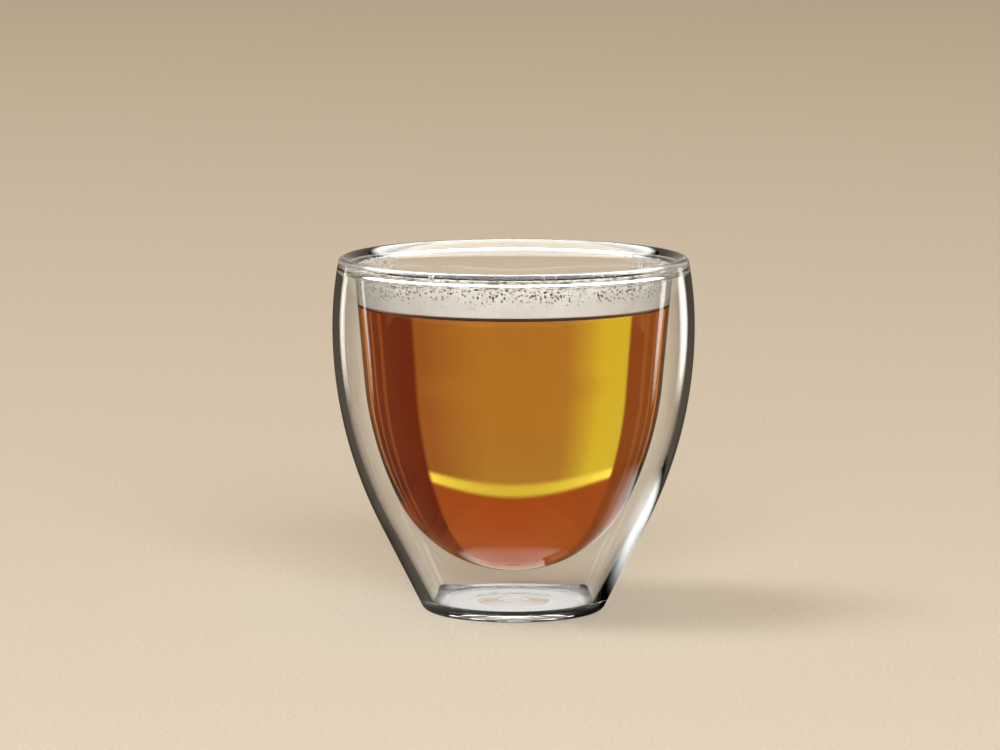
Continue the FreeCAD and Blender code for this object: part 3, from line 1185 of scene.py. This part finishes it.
@dataclass
class Studio:
    """The floor, the light and the camera. The cup's belly takes up the view share of the picture's width."""

    middle: float
    floor: StudioFloor = field(default_factory=StudioFloor)
    distance: float = 1.5
    elevation: float = math.radians(7.78)
    view_share: float = 0.3615
    belly_width: float = 0.09
    aim_right: float = -0.00337
    aim_up: float = 0.0146
    lamps: tuple[Lamp, ...] = (
        Lamp("key_softbox", (-2.1, -0.2, 3.6), 1.6, 1.6, 60.0),
        Lamp("fill_softbox", (0.3, -2.6, 1.2), 2.2, 1.4, 90.0),
    )
    cards: tuple[Card, ...] = (
        Card("top_card", Sight.MIRRORED, (0.0, 0.0, 0.9), (3.0, 3.0), (10.0, 9.9, 9.6), fade=0.2),
        Card("right_card", Sight.MIRRORED, (0.17, 0.14, 0.06), (0.05, 0.13), (3.4, 3.3, 3.1), upright=True),
        Card("left_card", Sight.MIRRORED, (-0.17, 0.15, 0.06), (0.03, 0.13), (2.6, 2.6, 2.4), upright=True),
        Card("floor_card", Sight.MIRRORED, (0.055, 0.05, 5e-4), (0.09, 0.11), (1.2, 1.2, 1.15)),
        Card("foot_card", Sight.THROUGH_GLASS, (0.0, 0.0, 4e-4), (0.042,) * 2, (0.95, 0.95, 0.92), fade=0.25),
    )

    def build_floor(self) -> bpy.types.Object:
        """A level sheet far wider than the view."""
        half = 8.0
        corners = np.array([[-half, -half, 0.0], [half, -half, 0.0], [half, half, 0.0], [-half, half, 0.0]])
        sheet = Surface(corners, np.array([[0, 1, 2, 3]]), NO_TRIANGLES).piece("studio_floor")
        sheet.data.materials.append(self.floor.material())
        return sheet

    def build_world(self) -> None:
        """A soft surround: pale near the horizon and dimmer overhead, by the height of the direction."""
        world = bpy.data.worlds.new("studio_surround")
        world.use_nodes = True
        world.node_tree.nodes.clear()
        nodes = Nodes(world.node_tree)
        way = nodes.add("ShaderNodeTexCoord").outputs["Generated"]
        height = nodes.add("ShaderNodeSeparateXYZ", {0: way}).outputs["Z"]
        ramp = nodes.add("ShaderNodeValToRGB", {0: nodes.spread(height, 0.0, 1.0, 0.0, 1.0)})
        steps = ((0.0, (0.45, 0.41, 0.34)), (0.5, (0.35, 0.3, 0.24)), (0.68, (0.6, 0.45, 0.3)))
        while len(ramp.color_ramp.elements) < len(steps):
            ramp.color_ramp.elements.new(0.5)
        for element, (place, colour) in zip(ramp.color_ramp.elements, steps):
            element.position, element.color = place, (*colour, 1.0)
        light = nodes.add("ShaderNodeBackground", {"Color": ramp.outputs[0], "Strength": 1.0})
        nodes.add("ShaderNodeOutputWorld", {"Surface": light.outputs[0]})
        bpy.context.scene.world = world

    def build_camera(self) -> bpy.types.Object:
        """A long lens from a little above the cup's middle. The cup sits low and just right of centre."""
        data = bpy.data.cameras.new("camera")
        data.sensor_width = 36.0
        data.lens = data.sensor_width * self.view_share * self.distance / self.belly_width
        data.clip_start, data.clip_end = 0.05, 50.0
        camera = bpy.data.objects.new("camera", data)
        aim = (self.aim_right, 0.0, self.middle + self.aim_up)
        flat, rise = self.distance * math.cos(self.elevation), self.distance * math.sin(self.elevation)
        camera.matrix_world = facing_matrix((0.0, -flat, self.middle + rise), aim)
        bpy.context.scene.collection.objects.link(camera)
        bpy.context.scene.camera = camera
        return camera

    def build(self) -> None:
        """Builds the floor, the surround, the lamps and the camera, and sets how deep light is followed."""
        self.build_floor()
        self.build_world()
        LightTent().build()
        for thing in self.lamps + self.cards:
            thing.build()
        self.build_camera()
        scene = bpy.context.scene
        scene.view_settings.view_transform = "Standard"
        scene.cycles.max_bounces = 28
        scene.cycles.transmission_bounces = 28
        scene.cycles.glossy_bounces = 8
        scene.cycles.diffuse_bounces = 4
        scene.cycles.transparent_max_bounces = 16
        scene.cycles.sample_clamp_indirect = 8.0


def main() -> None:
    """Builds the cup, the tea, the condensation and the studio."""
    logging.basicConfig(level=logging.INFO, format="%(name)s: %(message)s")
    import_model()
    low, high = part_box("glass_cup")
    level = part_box("tea")[1][2]
    sizes = CupSizes(height=high[2], belly_radius=(high[0] - low[0]) / 2, bowl_lowest=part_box("tea")[0][2])
    shape = CupShape(sizes, step=1.1 * MM)
    water = Condensation(shape, level)
    for build in (Cup(shape).build, Tea(shape, level).build, water.build_beads, water.build_fog):
        piece = build()
        LOG.info("%s: %d faces", piece.name, len(piece.data.polygons))
    Studio(middle=sizes.height / 2).build()


if __name__ == "__main__":
    main()
